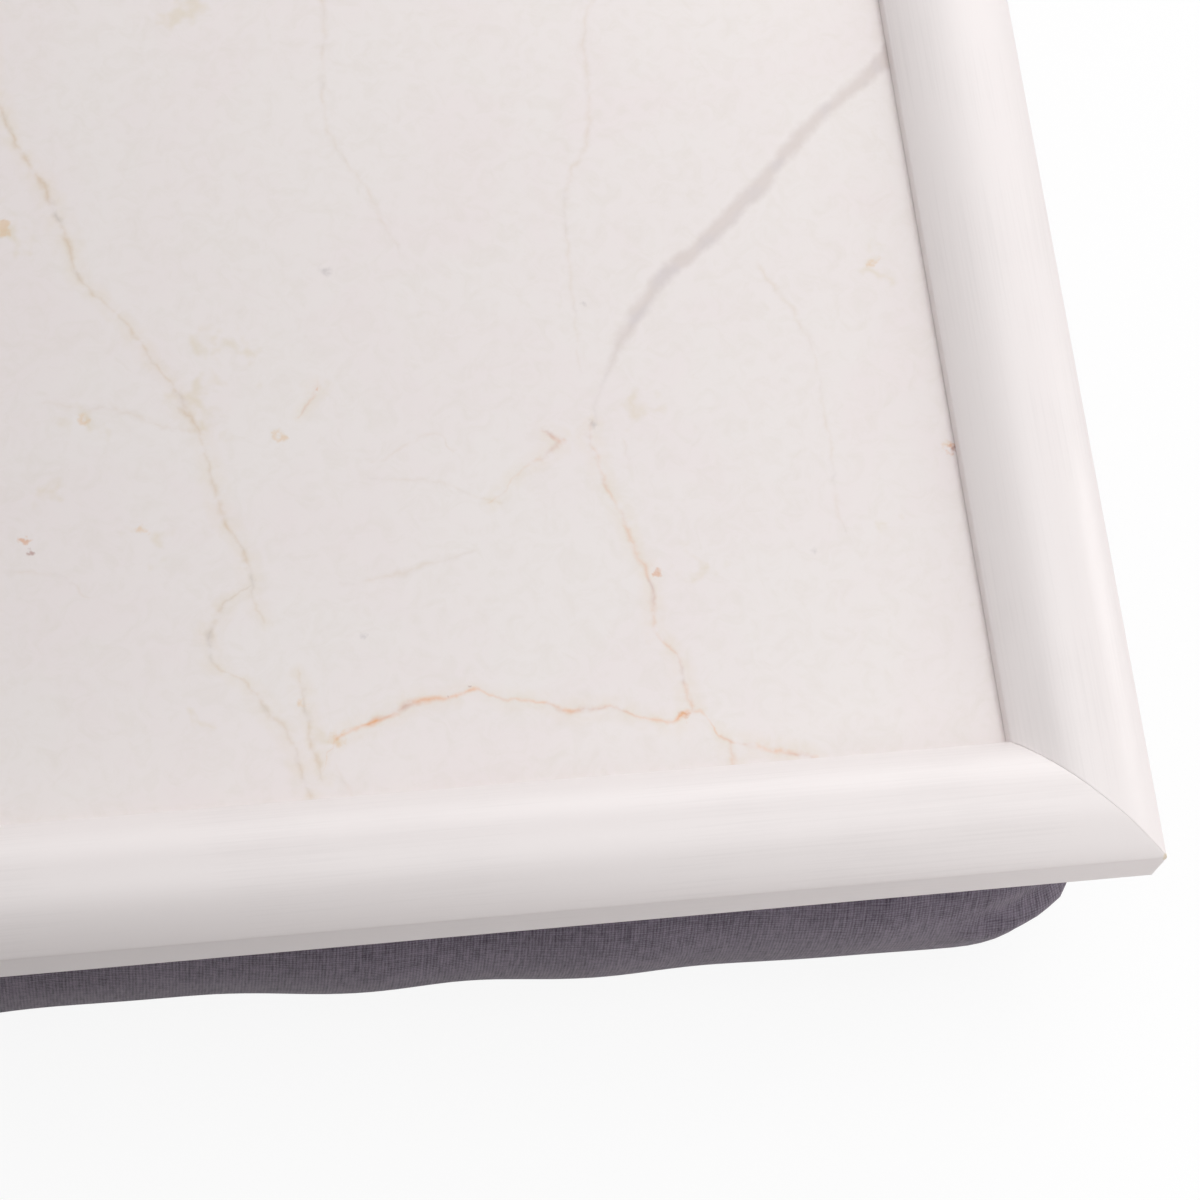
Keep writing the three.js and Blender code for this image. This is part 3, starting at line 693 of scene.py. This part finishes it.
veinLines = [  # ink, runs along, points of (place along, place across, half width) in mm; below zero it thins
    ("tan", "y", [
        (-112, 68, -0.4), (-107, 66, -0.2), (-100, 66, 0.15), (-93, 63, 0.2), (-85, 61, 0.1),
        (-79, 60.5, -0.2), (-71, 57.6, 0.25), (-66, 56, 0.2), (-62, 53, -0.1), (-54, 49, 0),
        (-48, 44, -0.1), (-42, 40, 0.1), (-33, 38.5, 0.25), (-8, 29, 0.1), (14, 26, 0.3), (40, 12, 0),
        (66, 10, -0.4)]),
    ("tan", "y", [
        (-148, 73, 0), (-142, 72, 0.1), (-134, 70, -0.1), (-130.5, 68, 0.3), (-123, 63, 0),
        (-120, 59, -0.1), (-116, 58, 0), (-111.5, 59.5, 0.2), (-107.5, 62, 0), (-104, 67, -0.4)]),
    ("tan", "y", [(-142, 75, -0.3), (-135, 74.3, 0.1), (-128, 73.4, 0), (-122, 72.8, -0.4)]),
    ("rust", "x", [
        (75.5, -141, -0.4), (76.6, -136.5, -0.25), (78, -134.4, 0.1), (83, -132.5, 0.1),
        (84.5, -131.9, 0.6), (87.4, -130.9, 0.3), (89.6, -129.8, 0.45), (96, -128.6, 0.2),
        (99, -128.5, 0.1), (102.6, -127.2, 0.15), (106, -129.2, -0.1), (113, -130.5, -0.1),
        (119.4, -132.7, 0.2), (126, -132.9, 0), (133, -135.8, -0.1), (137, -136.4, 0), (139.5, -135.4, 0.5),
        (142, -134.8, -0.1), (145.4, -139.7, -0.1), (151, -141.5, 0), (156, -143.3, 0.05), (162, -145, 0)]),
    ("blush", "y", [(-146, 146.8, 0), (-141, 147.2, 0)]),
    ("faint", "y", [(-146, 80, 0), (-140, 78, 0)]),
    ("blush", "y", [
        (-134, 141, 0.1), (-130, 140.3, 0.2), (-125, 140, -0.1), (-121, 137.6, 0.1), (-118, 136.2, 0),
        (-113, 136.4, 0.1), (-108, 136.2, 0.1), (-101, 134.2, 0.1), (-95, 132.5, -0.1), (-90, 130.8, 0),
        (-86, 130.2, 0), (-81.5, 128.8, 0), (-78.5, 130.2, -0.2)]),
    ("faint", "y", [(-89, 136.3, -0.2), (-83.5, 135.4, 0)]),
    ("mauve", "y", [
        (-79, 130.5, -0.4), (-73, 132, -0.5), (-68, 134.5, 0), (-64, 136.6, 0.7), (-60, 139, 1.3),
        (-50, 147.7, 2.0), (-41, 158.5, 2.3), (-36, 164, 2.2), (-20, 180, 1.8), (-6, 198, 2.4)]),
    ("faint", "y", [
        (-69, 128.8, -0.3), (-57, 129.3, -0.1), (-44, 130, 0), (-34, 130.7, 0.05), (-18, 137, 0.2),
        (4, 139, 0.1), (22, 150, 0.3), (44, 155, 0.1), (60, 168, -0.3)]),
    ("rust", "x", [(121.3, -79.8, 0.05), (124, -81.6, 0.25)]),
    ("blush", "x", [(109.5, -92.5, -0.3), (117, -86.5, -0.2), (122.3, -83.2, 0.1), (124, -81.6, 0.2)]),
    ("faint", "x", [(90, -86.3, -0.1), (102, -88.5, -0.1), (111, -92.5, 0)]),
    ("faint", "x", [(90, -83, -0.2), (101.5, -78.7, 0), (103.5, -82, 0)]),
    ("faint", "x", [
        (82, -106.2, 0), (88, -105.4, 0.1), (94.5, -104, 0.2), (102, -102.6, 0.1), (106, -101.5, -0.2)]),
    ("faint", "x", [(33, -67.6, -0.2), (40, -69, 0.2), (46, -70, 0.3), (51, -72.5, 0.2), (58, -75, 0.1)]),
    ("faint", "y", [
        (-103, 173.4, -0.1), (-98, 172.6, 0), (-85, 173, 0), (-68, 173, -0.2), (-65, 172.2, 0.1),
        (-52, 166.3, 0.2), (-48, 164.5, -0.2)]),
    ("faint", "y", [
        (-42, 99, 0), (-37.5, 97, 0), (-32, 95.2, 0.1), (-12, 88, 0.1), (12, 90, 0.3), (30, 78, 0.2),
        (50, 84, 0.2), (70, 80, 0.3), (98, 84, -0.3)]),
    ("faint", "x", [(18, -99.6, 0), (32, -100.3, -0.1), (38, -105, -0.2)]),
    ("blush", "y", [(-73.5, 77.5, -0.3), (-70, 80, 0), (-67.8, 81.2, 0.2)]),
    ("mauve", "x", [
        (-198, 52, 1.8), (-172, 46, 2.2), (-150, 52, 1.6), (-128, 64, 2.4), (-104, 70, 1.4), (-86, 82, 1.8),
        (-66, 86, 0.8), (-50, 95, 0)]),
    ("rust", "y", [
        (62, 11, -0.3), (78, 4, 0.2), (90, -2, -0.1), (104, 0, 0.3), (118, -8, -0.1), (132, -6, 0.2),
        (147, -14, 0)]),
    ("tan", "x", [
        (-196, -38, 0.1), (-170, -44, 0.2), (-146, -40, 0), (-120, -52, 0.2), (-98, -50, 0),
        (-74, -60, 0.2), (-52, -58, 0), (-30, -66, 0), (-12, -64, -0.4)]),
    ("rust", "y", [
        (-147, -92, 0.1), (-132, -88, 0.2), (-116, -90, -0.1), (-100, -82, 0.4), (-86, -84, -0.1),
        (-70, -76, 0.2), (-60, -74, -0.3)]),
    ("tan", "y", [
        (-60, -74, -0.3), (-44, -70, 0.1), (-26, -74, 0), (-8, -66, 0.2), (12, -70, 0.1), (30, -62, 0),
        (46, -64, -0.4)]),
    ("tan", "x", [
        (20, 104, -0.4), (40, 98, 0), (62, 102, 0.2), (84, 94, 0), (108, 98, 0.2), (130, 90, 0),
        (156, 94, 0.2), (178, 84, 0), (197, 86, 0.1)]),
    ("blush", "y", [(58, 168, -0.3), (74, 164, 0.1), (84, 158, 0.2), (95, 156, -0.3)]),
    ("tan", "y", [
        (-147, -10, 0.1), (-128, -4, 0.2), (-110, -8, 0), (-92, 2, 0.1), (-76, 0, 0), (-66, -6, -0.4)]),
    ("mauve", "y", [
        (94, -132, -0.4), (108, -124, 0.8), (120, -128, 1.2), (134, -120, 1.0), (147, -122, 1.4)]),
    ("faint", "x", [
        (-196, 112, 0.1), (-176, 108, 0.2), (-156, 114, 0.1), (-136, 106, 0.3), (-118, 108, -0.3)]),
    ("faint", "y", [
        (-147, -150, 0.1), (-124, -156, 0.2), (-104, -150, 0.1), (-84, -160, 0.2), (-62, -156, 0),
        (-48, -162, -0.3)]),
]
specks = dict(  # colour, strength, soft edge, ragged size and reach, then (x, y, radius), all in mm
    cloud=("#cfbb82", 0.24, 2.4, (5, 9), [
        (62.5, -58, 1.8), (68.5, -61.5, 2.0), (60.5, -68.5, 2.2), (62, -73.5, 1.2), (29, -33, 3.2),
        (50.5, -95.5, 1.4), (32, -85, 1.2), (39.5, -71.5, 1.6), (146, -107, 1.4), (139, -77, 1.6),
        (187, -52.5, 1.6), (77, -136, 1.6), (55.5, -129, 0.8), (182, -101.5, 0.6), (-20, -40, 2.4),
        (-96, 20, 3.0), (120, 70, 2.4), (-160, -110, 2.2), (64, 10, 2.6), (-40, 70, 2.4)]),
    slate=("#a2979a", 0.32, 0.6, (1.5, 1.2), [
        (85, -45, 0.75), (130.2, -78.7, 0.45), (131.5, -55, 0.35), (84.8, -116, 0.3), (167, -106.4, 0.3),
        (-70, -96, 0.7), (20, 110, 0.8)]),
    straw=("#dcae66", 0.42, 0.8, (1.8, 2.4), [
        (48, -93.6, 0.6), (39.4, -71.2, 0.6), (186, -50, 0.8), (74, -77, 0.7), (27.6, -32.8, 1.6),
        (78.3, -134.5, 0.8), (72.9, -128, 0.5), (194.4, -87.6, 0.5), (-122, -70, 0.9), (48, 92, 0.8)]),
    amber=("#d6904e", 0.55, 0.5, (1.6, 2.0), [
        (27.5, -93.6, 0.65), (137.9, -108, 0.5), (195.4, -88.3, 0.7), (81, -68.2, 0.3),
        (139.4, -135.5, 0.4), (-60, 44, 0.9), (-150, 96, 0.8)]),
    # the ember spot at 195.8, -88.5, on the panel's edge by the right rail, is a real orange spot made darker
    # with painted shade from the rail's contact shadow
    ember=("#9d5f52", 0.6, 0.35, (1.4, 1.2), [
        (28.6, -96, 0.5), (195.8, -88.5, 0.4), (102.4, -127.3, 0.2), (98.5, -128.6, 0.15)]))


def marblePrint(f):
    material, tree, shader = newMaterial("marble print under melamine, pressed", f["white"], f["roughness"],
                                         IOR=1.5)
    place = addNode(tree, "ShaderNodeTexCoord").outputs["Object"]
    flat = (1 / mm, 1 / mm, 0)
    inMm = addNode(tree, "ShaderNodeVectorMath", {0: place, 1: flat}, operation="MULTIPLY").outputs[0]

    def strayed(start, size, reach):  # every place pushed aside a little: lines wander and spots are ragged
        noise = addNode(tree, "ShaderNodeTexNoise", {"Vector": inMm, "Scale": 1 / size, "Detail": 2.5})
        push = addNode(tree, "ShaderNodeVectorMath", operation="MULTIPLY_ADD", inputs={
            0: noise.outputs["Color"], 1: (2 * reach, 2 * reach, 0), 2: (-reach, -reach, 0)})
        moved = addNode(tree, "ShaderNodeVectorMath", {0: start, 1: push.outputs[0]}, operation="ADD")
        return moved.outputs[0]

    def deepest(depths):  # lines and spots of one ink joined: the deepest of their depths inside the edge
        most = depths[0]
        for depth in depths[1:]:
            most = addNode(tree, "ShaderNodeMath", {0: most, 1: depth}, operation="MAXIMUM").outputs[0]
        return most

    split = addNode(tree, "ShaderNodeSeparateXYZ", {0: strayed(strayed(inMm, *f["wanderMm"]), *f["frayMm"])})
    patches = addNode(tree, "ShaderNodeTexNoise", {"Vector": inMm, "Scale": 1 / f["breakMm"], "Detail": 2.5})
    broken = addNode(tree, "ShaderNodeMapRange", {
        "Value": patches.outputs["Fac"], "From Min": f["breakRange"][0], "From Max": f["breakRange"][1],
        "To Min": f["breakShow"][0], "To Max": f["breakShow"][1]}).outputs[0]
    warmth = addNode(tree, "ShaderNodeTexNoise", {"Vector": inMm, "Scale": 1 / f["warmMm"], "Detail": 1.0})

    mottle = addNode(tree, "ShaderNodeTexNoise", {
        "Vector": inMm, "Scale": 1 / f["mottleMm"], "Detail": 5.0, "Roughness": 0.6, "Distortion": 0.6})
    colour = addNode(tree, "ShaderNodeValToRGB", {0: mottle.outputs["Fac"]}, stops=f["mottle"]).outputs[0]
    veil = addNode(tree, "ShaderNodeTexNoise", {
        "Vector": inMm, "Scale": 1 / f["cloudMm"], "Detail": 4.0, "Roughness": 0.65, "Distortion": 1.2})
    veil = addNode(tree, "ShaderNodeMapRange", {
        "Value": veil.outputs["Fac"], "From Min": f["cloudRange"][0], "From Max": f["cloudRange"][1],
        "To Min": 0.0, "To Max": f["cloudShow"]})

    x, y = split.outputs[:2]
    veins = {}
    for ink, run, line in veinLines:
        along, across = (x, y) if run == "x" else (y, x)
        path = addNode(tree, "ShaderNodeFloatCurve", {"Value": along}, curve=[(p, q) for p, q, w in line])
        off = addNode(tree, "ShaderNodeMath", {0: across, 1: path.outputs[0]}, operation="SUBTRACT")
        off = addNode(tree, "ShaderNodeMath", {0: off.outputs[0]}, operation="ABSOLUTE")
        first, last = line[0][0] - f["veinEndMm"], line[-1][0] + f["veinEndMm"]
        widths = [(p, w) for p, q, w in line]
        widths = [(first, f["pastEnd"])] + widths + [(last, f["pastEnd"])]  # nothing past either end
        half = addNode(tree, "ShaderNodeFloatCurve", {"Value": along}, curve=widths)
        depth = addNode(tree, "ShaderNodeMath", {0: half.outputs[0], 1: off.outputs[0]}, operation="SUBTRACT")
        veins.setdefault(ink, []).append(depth.outputs[0])
    veins = {ink: deepest(depths) for ink, depths in veins.items()}
    coloured = deepest([veins["tan"], veins["rust"], veins["blush"]])  # a warm stain follows these
    stain = addNode(tree, "ShaderNodeMapRange", {
        "Value": coloured, "From Min": -f["haloMm"], "From Max": f["haloEdgeMm"],
        "To Min": 0.0, "To Max": f["haloShow"]})
    stain = addNode(tree, "ShaderNodeMath", {0: stain.outputs[0], 1: broken}, operation="MULTIPLY")

    inks = []  # depth inside the edge, soft edge, strength, colour, whether it comes and goes
    for ink, depth in veins.items():
        cool, warm, strength, soft = veinInks[ink]
        tint = addNode(tree, "ShaderNodeValToRGB", {0: warmth.outputs["Fac"]},
                       stops=[(f["warmFrom"], cool), (f["warmTo"], warm)])
        inks.append((depth, soft, strength, tint.outputs[0], ink != "mauve"))
    for tone, strength, soft, ragged, spots in specks.values():
        spread = strayed(inMm, *ragged)
        depths = []
        for spotX, spotY, radius in spots:
            away = addNode(tree, "ShaderNodeVectorMath", operation="DISTANCE", inputs={
                0: spread, 1: (spotX, spotY, 0)})
            inside = addNode(tree, "ShaderNodeMath", operation="SUBTRACT", inputs={
                0: radius, 1: away.outputs["Value"]})
            depths.append(inside.outputs[0])
        inks.append((deepest(depths), soft, strength, linear(tone), False))

    coats = [(veil.outputs[0], linear(f["cloud"])), (stain.outputs[0], linear(f["halo"]))]
    for depth, soft, strength, tint, breaks in inks:
        mask = addNode(tree, "ShaderNodeMapRange", interpolation_type="SMOOTHSTEP", inputs={
            "Value": depth, "From Min": -soft, "From Max": soft, "To Min": 0.0, "To Max": strength})
        if breaks:
            mask = addNode(tree, "ShaderNodeMath", {0: mask.outputs[0], 1: broken}, operation="MULTIPLY")
        coats.append((mask.outputs[0], tint))
    for share, tint in coats:  # each coat printed over the ones before it
        colour = addNode(tree, "ShaderNodeMix", data_type="RGBA", inputs={
            "Factor": share, "A": colour, "B": tint}).outputs["Result"]
    tree.links.new(colour, shader.inputs["Base Color"])
    linen = addNode(tree, "ShaderNodeTexNoise", {"Vector": inMm, "Scale": 1 / f["linenMm"], "Detail": 1.0})
    bump = addNode(tree, "ShaderNodeBump", {
        "Height": linen.outputs["Fac"], "Distance": f["linenHeightMm"] * mm, "Strength": 1.0})
    tree.links.new(bump.outputs[0], shader.inputs["Normal"])
    return material


dress("marble_sheet", marblePrint(marbleFinish))
print("face printed")


# Nylon hook and loop tape: hooks moulded in rows on a woven back, and a brushed pile sewn to the cushion
tapeForm = dict(corner=3, back=0.5, chamfer=0.15, selvedge=1.8, cornerSteps=7, sharp=40,
                hookPitch=2.2, hookWide=0.42, hookBend=0.5,  # then shares of a hook's height, bend and width
                hookShape=((-0.1, 0, 1.2), (0.6, 0.08, 0.95), (0.95, 0.5, 0.85), (0.8, 1.0, 0.7)),
                pileStep=0.8, pileLow=0.4, pileSink=0.05, stitchPitch=3.4, stitchLong=2.4, stitchFree=8,
                stitchSteps=4, threadSides=6, threadMm=0.5)
tapeFinish = dict(back="#38353b", backTone=[(0.0, "#2f2c32"), (1.0, "#38353b")], ribMm=0.7, ribHeightMm=0.08,
                  hook="#403d44", hookTone=[(0.3, "#36333a"), (0.7, "#403d44")], hookCloudMm=10 / 3,
                  pile="#45414a", pileTone=[(0.3, "#322f36"), (0.7, "#56525c")],
                  fuzzMm=0.625, fuzzHeightMm=0.25,
                  thread="#57515c", threadTone=[(0.0, "#48424d"), (1.0, "#57515c")], plyMm=0.48)


def tapeMaterials(f):
    waveTurn = math.pi / 5  # one rib of the wave texture at scale 1

    back, tree, shader = newMaterial("nylon tape, woven", f["back"], 0.6, IOR=1.53)
    weave = addNode(tree, "ShaderNodeTexWave", bands_direction="DIAGONAL", inputs={
        "Vector": placeInMm(tree), "Scale": waveTurn / f["ribMm"], "Distortion": 1.5})
    bump = addNode(tree, "ShaderNodeBump", {
        "Height": weave.outputs["Fac"], "Distance": f["ribHeightMm"] * mm, "Strength": 1.0})
    tree.links.new(bump.outputs[0], shader.inputs["Normal"])
    tone = addNode(tree, "ShaderNodeValToRGB", {0: weave.outputs["Fac"]}, stops=f["backTone"])
    tree.links.new(tone.outputs[0], shader.inputs["Base Color"])

    hook, tree, shader = newMaterial("nylon hooks, moulded", f["hook"], 0.42, IOR=1.53)
    cloud = addNode(tree, "ShaderNodeTexNoise", {
        "Vector": placeInMm(tree), "Scale": 1 / f["hookCloudMm"], "Detail": 2.0})
    tone = addNode(tree, "ShaderNodeValToRGB", {0: cloud.outputs["Fac"]}, stops=f["hookTone"])
    tree.links.new(tone.outputs[0], shader.inputs["Base Color"])

    pile, tree, shader = newMaterial("nylon loop pile, brushed", f["pile"], 0.95, IOR=1.53, Sheen_Weight=0.4)
    fuzz = addNode(tree, "ShaderNodeTexNoise", {
        "Vector": placeInMm(tree), "Scale": 1 / f["fuzzMm"], "Detail": 3.0, "Roughness": 0.7})
    tone = addNode(tree, "ShaderNodeValToRGB", {0: fuzz.outputs["Fac"]}, stops=f["pileTone"])
    tree.links.new(tone.outputs[0], shader.inputs["Base Color"])
    bump = addNode(tree, "ShaderNodeBump", {
        "Height": fuzz.outputs["Fac"], "Distance": f["fuzzHeightMm"] * mm, "Strength": 1.0})
    tree.links.new(bump.outputs[0], shader.inputs["Normal"])

    thread, tree, shader = newMaterial("polyester thread, twisted", f["thread"], 0.6, IOR=1.55)
    ply = addNode(tree, "ShaderNodeTexWave", bands_direction="DIAGONAL", inputs={
        "Vector": placeInMm(tree), "Scale": waveTurn / f["plyMm"]})
    tone = addNode(tree, "ShaderNodeValToRGB", {0: ply.outputs["Fac"]}, stops=f["threadTone"])
    tree.links.new(tone.outputs[0], shader.inputs["Base Color"])
    return back, hook, pile, thread


def slab(t, length, width, low, high):  # thin tape with rounded corners and broken edges
    def ring(inset, z):
        points = []
        radius = t["corner"] - inset
        for k, (sx, sy) in enumerate(cornerSigns):
            middleX, middleY = sx * (length / 2 - t["corner"]), sy * (width / 2 - t["corner"])
            for bend in np.linspace(0, math.pi / 2, t["cornerSteps"]):
                angle = (k - 1) * math.pi / 2 + bend
                points.append((middleX + radius * math.cos(angle), middleY + radius * math.sin(angle), z))
        return points

    chamfer = t["chamfer"]
    rings = [ring(chamfer, low), ring(0, low + chamfer), ring(0, high - chamfer), ring(chamfer, high)]
    return [p for r in rings for p in r], gridFaces(len(rings), len(rings[0]))


def hookField(t, length, width, root, tip):  # staggered prongs, each leaning over at its end
    points, faces = [], []
    rows = int((width - 2 * t["selvedge"]) / t["hookPitch"])
    columns = int((length - 2 * t["selvedge"]) / t["hookPitch"])
    for row in range(rows):
        odd = row % 2
        lean = 1 if odd else -1
        y = (row - (rows - 1) / 2) * t["hookPitch"]
        for column in range(columns - odd):
            x = (column - (columns - 1) / 2 + 0.5 * odd) * t["hookPitch"]
            base = len(points)
            for share, shift, size in t["hookShape"]:
                z = root + (tip - root) * share
                middle = x + lean * shift * t["hookBend"]
                half = t["hookWide"] / 2 * size
                x0, y0, x1, y1 = middle - half, y - half, middle + half, y + half
                points += [(x0, y0, z), (x1, y0, z), (x1, y1, z), (x0, y1, z)]
            for level in range(len(t["hookShape"]) - 1):
                here = base + 4 * level
                for i in range(4):
                    j = (i + 1) % 4
                    faces.append([here + i, here + 4 + i, here + 4 + j, here + j])
            end = len(points)
            faces += [[base, base + 1, base + 2, base + 3], [end - 1, end - 2, end - 3, end - 4]]
    return points, faces


def pileField(t, length, width, low, high, seed):  # brushed loops as an uneven raised bed
    draw = np.random.default_rng(seed)
    columns, rows = (int((size - 2 * t["selvedge"]) / t["pileStep"]) for size in (length, width))
    xs = np.linspace(-1, 1, columns + 1) * (length / 2 - t["selvedge"])
    ys = np.linspace(-1, 1, rows + 1) * (width / 2 - t["selvedge"])
    height = draw.uniform(t["pileLow"], 1.0, (rows + 1, columns + 1))
    height[[0, -1], :] = height[:, [0, -1]] = 0
    points = [(x, y, low + (high - low) * h) for y, row in zip(ys, height) for x, h in zip(xs, row)]
    wide = columns + 1
    faces = []
    for row in range(rows):
        for column in range(columns):
            a = row * wide + column
            faces.append([a, a + 1, a + wide + 1, a + wide])
    edge = list(range(wide)) + [(r + 1) * wide + columns for r in range(rows)]
    edge += [rows * wide + columns - 1 - i for i in range(columns)]
    edge += [(rows - 1 - r) * wide for r in range(rows - 1)]
    faces.append(edge[::-1])
    return points, faces


def stitches(t, length, width, level):  # short humped threads round the selvedge
    points, faces = [], []
    r, sides, steps = t["threadMm"] / 2, t["threadSides"], t["stitchSteps"]
    edges = ((length, width, 0), (length, width, 2), (width, length, 1), (width, length, 3))
    for span, across, turn in edges:
        number = int((span - t["stitchFree"]) / t["stitchPitch"])
        for k in range(number):
            middle = (k - (number - 1) / 2) * t["stitchPitch"]
            base = len(points)
            for step in range(steps + 1):
                share = step / steps - 0.5
                arch = math.cos(math.pi * share)
                hump = level + r * 0.7 * arch - 0.3 * r
                for side in range(sides):
                    angle = side * 2 * math.pi / sides
                    x = middle + share * t["stitchLong"]
                    y = -across / 2 + t["selvedge"] / 2 + r * math.cos(angle)
                    for _ in range(turn):
                        x, y = -y, x
                    points.append((x, y, hump + r * math.sin(angle) * (0.75 + 0.25 * arch)))
            tail = base + steps * sides
            faces += [[base + i for i in range(sides)], [tail + i for i in range(sides)][::-1]]
            for step in range(steps):
                here, there = base + step * sides, base + (step + 1) * sides
                for i in range(sides):
                    j = (i + 1) % sides
                    faces.append([here + i, there + i, there + j, here + j])
    return points, faces


def buildTapes(t):
    back, hook, pile, thread = tapeMaterials(tapeFinish)
    for seed, side in enumerate(("front", "right", "back", "left")):
        for kind, body in (("hook", "tray"), ("loop", "cushion")):
            node = kind + "_strip_" + side
            low, high = (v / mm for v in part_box(node))
            middle, size = (low + high) / 2, high - low
            upright = size.y > size.x
            length, width = max(size.x, size.y), min(size.x, size.y)
            if kind == "hook":
                root = high.z - t["back"]
                parts = [(slab(t, length, width, root, high.z), back),
                         (hookField(t, length, width, root, low.z), hook)]
            else:
                root = low.z + t["back"]
                parts = [(slab(t, length, width, low.z, root), back),
                         (pileField(t, length, width, root - t["pileSink"], high.z, seed), pile),
                         (stitches(t, length, width, root), thread)]
            points, faces, finish = [], [], []
            for index, ((partPoints, partFaces), _) in enumerate(parts):
                faces += [[i + len(points) for i in face] for face in partFaces]
                finish += [index] * len(partFaces)
                points += partPoints
            turned = [(-y, x, z) if upright else (x, y, z) for x, y, z in points]
            placed = [((x + middle.x) * mm, (y + middle.y) * mm, z * mm) for x, y, z in turned]
            strip = meshObject("tape_" + kind + "_" + side, placed, faces, sharp=t["sharp"])
            for _, material in parts:
                strip.data.materials.append(material)
            strip.data.polygons.foreach_set("material_index", finish)
            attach(strip, body)
            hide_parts(node)


buildTapes(tapeForm)
print("tapes laid")


# Hardboard, hot pressed: brown fibres lying every way, darker resin flecks, a slightly polished back
boardFinish = dict(light="#a17a52", tone=[(0.3, "#7b5737"), (0.7, "#a17a52")],
                   fibreMm=1.6, fibreHeightMm=0.05, roughness=0.62,
                   fleck="#5c4029", fleckMm=3.0, fleckRange=(0.08, 0.2), fleckShow=0.6)


def hardboard(b):
    material, tree, shader = newMaterial("hardboard, hot pressed", b["light"], b["roughness"], IOR=1.5)
    inMm = placeInMm(tree)
    fibre = addNode(tree, "ShaderNodeTexNoise", {
        "Vector": inMm, "Scale": 1 / b["fibreMm"], "Detail": 4.0, "Roughness": 0.7, "Distortion": 2.5})
    tone = addNode(tree, "ShaderNodeValToRGB", {0: fibre.outputs["Fac"]}, stops=b["tone"])
    fleck = addNode(tree, "ShaderNodeTexVoronoi", {"Vector": inMm, "Scale": 1 / b["fleckMm"]})
    spot = addNode(tree, "ShaderNodeMapRange", {
        "Value": fleck.outputs["Distance"], "From Min": b["fleckRange"][0], "From Max": b["fleckRange"][1],
        "To Min": b["fleckShow"], "To Max": 0.0})
    colour = addNode(tree, "ShaderNodeMix", data_type="RGBA", inputs={
        "Factor": spot.outputs[0], "A": tone.outputs[0], "B": linear(b["fleck"])})
    tree.links.new(colour.outputs["Result"], shader.inputs["Base Color"])
    bump = addNode(tree, "ShaderNodeBump", {
        "Height": fibre.outputs["Fac"], "Distance": b["fibreHeightMm"] * mm, "Strength": 1.0})
    tree.links.new(bump.outputs[0], shader.inputs["Normal"])
    return material


# Spring steel, zinc plated: bright grey with a faint crystal mottle
steelFinish = dict(light="#c3c6c9", tone=[(0.35, "#9da1a6"), (0.65, "#c3c6c9")], roughness=0.33, mottleMm=1.2,
                   brighter=0.08, duller=0.12)


def zincSteel(z):
    material, tree, shader = newMaterial("spring steel, zinc plated", z["light"], z["roughness"],
                                         Metallic=1.0)
    mottle = addNode(tree, "ShaderNodeTexNoise", {
        "Vector": placeInMm(tree), "Scale": 1 / z["mottleMm"], "Detail": 3.0})
    tone = addNode(tree, "ShaderNodeValToRGB", {0: mottle.outputs["Fac"]}, stops=z["tone"])
    tree.links.new(tone.outputs[0], shader.inputs["Base Color"])
    dull = addNode(tree, "ShaderNodeMapRange", {
        "Value": mottle.outputs["Fac"], "To Min": z["roughness"] - z["brighter"],
        "To Max": z["roughness"] + z["duller"]})
    tree.links.new(dull.outputs[0], shader.inputs["Roughness"])
    return material


dress("tray_panel", hardboard(boardFinish))
plated = zincSteel(steelFinish)
for node in nodes:
    if node.startswith(("v_nail", "panel_tab")):
        dress(node, plated)
print("board and fixings dressed")
